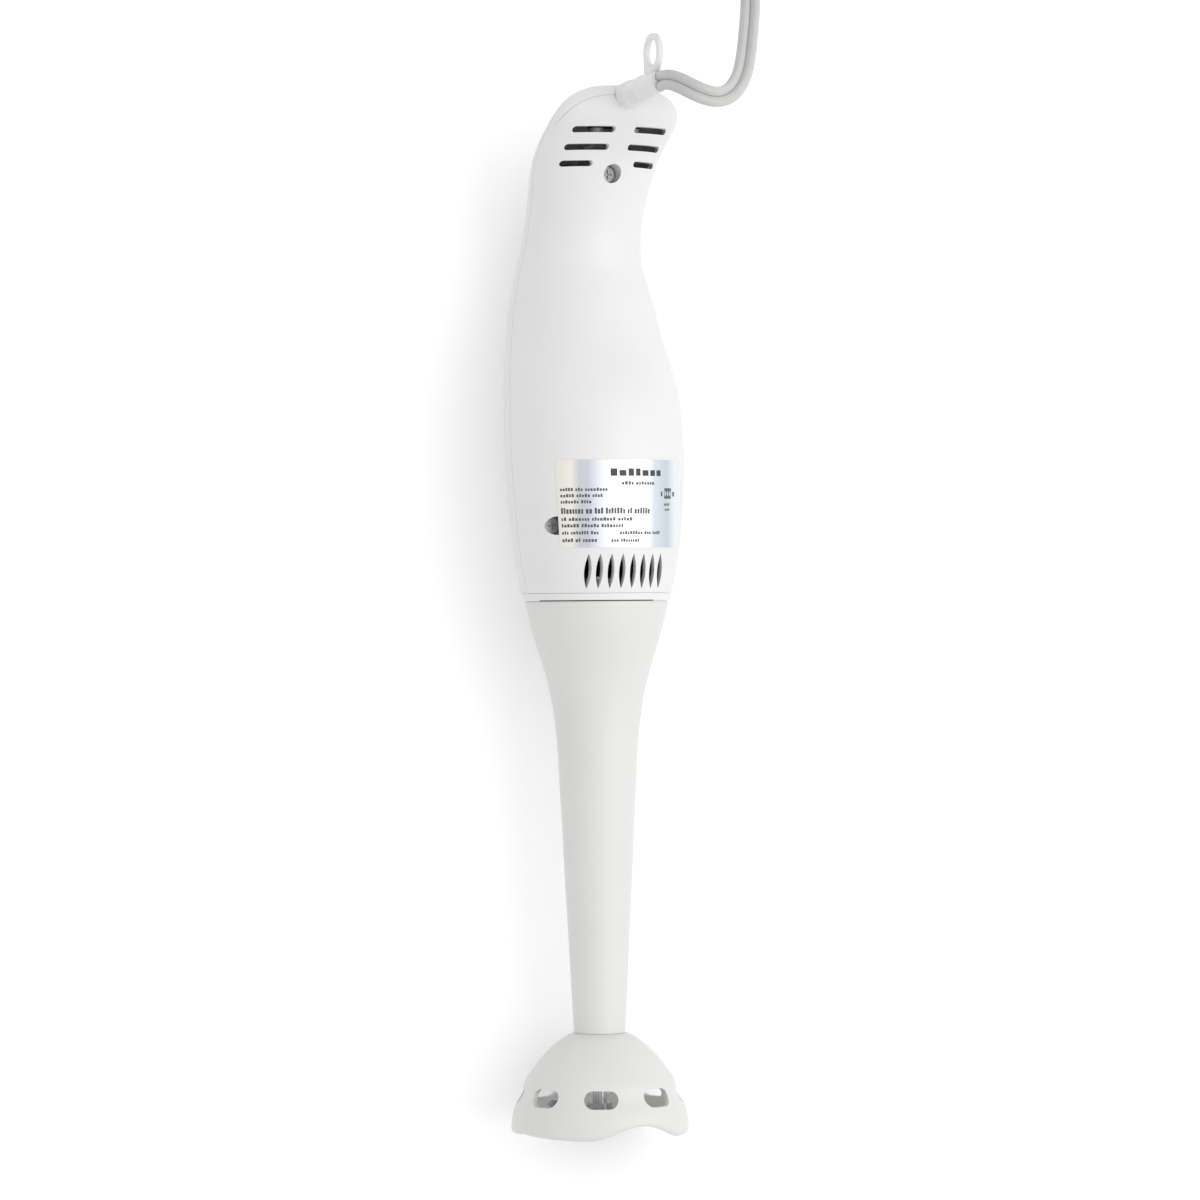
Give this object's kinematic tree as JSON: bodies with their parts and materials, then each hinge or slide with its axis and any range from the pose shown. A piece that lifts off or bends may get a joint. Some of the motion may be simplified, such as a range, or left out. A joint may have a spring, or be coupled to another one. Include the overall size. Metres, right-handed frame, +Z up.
{
  "type": "immersion blender",
  "caption": "Two-speed hand-held immersion blender with a detachable blending leg, domed blade guard and flat mains lead folded into a tied hank.",
  "frame": {"origin": "middle of the blender's footprint on the surface it lies on, without its cord", "axes": "+Y from the bell to the head along the drive axis as laid down, +Z up, +X to the right of someone who looks down with the head away from them"},
  "size_m": [0.0898, 0.5628, 0.1062],
  "materials": {
    "housing_plastic": "white ABS, satin gloss",
    "leg_plastic": "off-white ABS, satin gloss",
    "label_foil": "brushed silver foil",
    "screw_steel": "zinc-plated",
    "loop_plastic": "translucent natural polypropylene",
    "dark_plastic": "matt black",
    "lead_insulation": "PVC insulation",
    "capacitor_plastic": "moulded",
    "board_laminate": "laminate",
    "lamination_steel": "stacked sheet",
    "copper": "enamelled copper",
    "bracket_aluminium": "die-cast",
    "bush_bronze": "sintered bronze",
    "brass": "bright",
    "carbon": "pressed carbon",
    "button_plastic": "satin grey",
    "shaft_steel": "ground stainless",
    "coupling_plastic": "acetal",
    "seal_rubber": "nitrile",
    "cord_pvc": "white PVC",
    "tie_plastic": "soft PVC",
    "blade_brass": "nickel-plated brass"
  },
  "bodies": {
    "handle": {"front_housing": "housing_plastic", "rear_housing": "housing_plastic", "base_ring": "leg_plastic", "rating_label": "label_foil", "housing_screws": "screw_steel", "strain_relief": "housing_plastic", "hanging_loop": "loop_plastic", "cord_clamp": "dark_plastic", "clamp_screws": "screw_steel", "internal_leads": "lead_insulation", "suppressor_capacitor": "capacitor_plastic", "switch_board": "board_laminate", "switch_bodies": "dark_plastic", "stator_core": "lamination_steel", "field_coils": "copper", "lower_bracket": "bracket_aluminium", "upper_bracket": "bracket_aluminium", "lower_bearing": "bush_bronze", "upper_bearing": "bush_bronze", "motor_screws": "screw_steel", "brush_holders": "brass", "carbon_brushes": "carbon", "brush_springs": "screw_steel", "mains_cord": "cord_pvc", "cord_hank": "cord_pvc", "cord_tail": "cord_pvc", "hank_ties": "tie_plastic", "plug_body": "cord_pvc", "plug_blades": "blade_brass"},
    "rotor": {"motor_shaft": "shaft_steel", "armature_core": "lamination_steel", "armature_windings": "copper", "commutator": "copper", "cooling_fan": "dark_plastic", "drive_coupling": "coupling_plastic"},
    "leg": {"leg_tube": "leg_plastic", "blade_guard": "leg_plastic", "upper_bush": "bush_bronze", "lower_bush": "bush_bronze", "shaft_seal": "seal_rubber"},
    "blade_shaft": {"drive_shaft": "shaft_steel", "driven_coupling": "dark_plastic", "thrust_washer": "screw_steel", "blade": "shaft_steel", "blade_hub": "shaft_steel", "blade_nut": "shaft_steel"},
    "button_low": {"button_low": "button_plastic"},
    "button_high": {"button_high": "button_plastic"}
  },
  "joints": [
    {"name": "rotor_spin", "type": "hinge", "parent": "handle", "child": "rotor", "pos_m": [0.00043, 0.03333, 0.03456], "axis": [0, 0.9998, 0.0177], "continuous": true},
    {"name": "leg_release", "type": "slide", "parent": "handle", "child": "leg", "axis": [0, -0.9998, -0.0177], "range_m": [0, 0.06]},
    {"name": "blade_spin", "type": "hinge", "parent": "leg", "child": "blade_shaft", "pos_m": [0.00043, -0.08666, 0.03243], "axis": [0, 0.9998, 0.0177], "continuous": true},
    {"name": "low_speed_press", "type": "slide", "parent": "handle", "child": "button_low", "axis": [0.3737, -0.3079, 0.875], "range_m": [0, 0.002], "stiffness_N_per_m": 500},
    {"name": "high_speed_press", "type": "slide", "parent": "handle", "child": "button_high", "axis": [0.3314, -0.5437, 0.7711], "range_m": [0, 0.002], "stiffness_N_per_m": 500}
  ],
  "couplings": [
    {"joint": "blade_spin", "follows": "rotor_spin", "ratio": 1}
  ]
}
